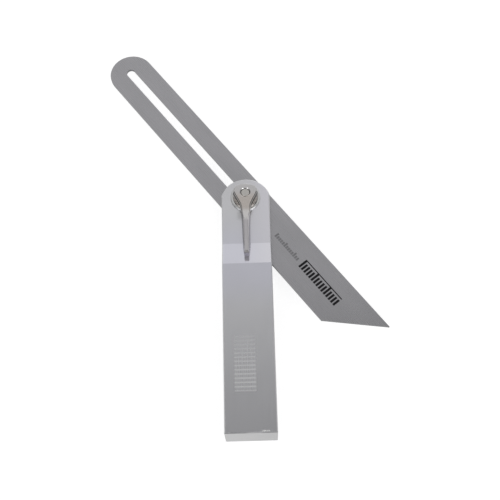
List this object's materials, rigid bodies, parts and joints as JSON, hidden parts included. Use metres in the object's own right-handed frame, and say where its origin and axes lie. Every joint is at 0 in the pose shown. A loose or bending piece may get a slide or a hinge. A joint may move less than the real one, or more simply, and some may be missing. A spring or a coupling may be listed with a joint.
{
  "type": "sliding bevel",
  "caption": "Adjustable angle-marking tool: a long slotted steel blade swings and slides on a bolt through a stepped aluminium handle and is locked by a lever nut.",
  "frame": {"origin": "centre of the handle's flat back face", "axes": "+Z out of the side that carries the lever, +Y along the handle towards its rounded end, +X across the handle"},
  "size_m": [0.152, 0.2299, 0.0224],
  "materials": {
    "handle": "satin, drawn along its length",
    "blade": "fine brushed",
    "bolt": "zinc plated steel",
    "washer": "plated, smooth",
    "lever": "nickel plated casting, smooth"
  },
  "bodies": {
    "handle": {"handle": "handle"},
    "pivot_bolt": {"pivot_bolt": "bolt"},
    "blade": {"blade": "blade"},
    "washer": {"flat_washer": "washer"},
    "lever": {"lock_lever": "lever"}
  },
  "joints": [
    {"name": "blade_swing", "type": "hinge", "parent": "handle", "child": "pivot_bolt", "pos_m": [0, 0.0598, 0.01015], "axis": [0, 0, 1], "range_deg": [-23, 128]},
    {"name": "blade_slide", "type": "slide", "parent": "pivot_bolt", "child": "blade", "axis": [0.6067, -0.7949, 0], "range_m": [-0.0047, 0.1078]},
    {"name": "washer_lift", "type": "slide", "parent": "handle", "child": "washer", "axis": [0, 0, 1], "range_m": [0, 0.0004]},
    {"name": "lever_turn", "type": "hinge", "parent": "washer", "child": "lever", "pos_m": [0, 0.0598, 0.0164], "axis": [0, 0, 1], "range_deg": [0, 180.5]}
  ],
  "couplings": [
    {"joint": "lever_turn", "follows": "washer_lift", "rad_per_m": 7854}
  ]
}
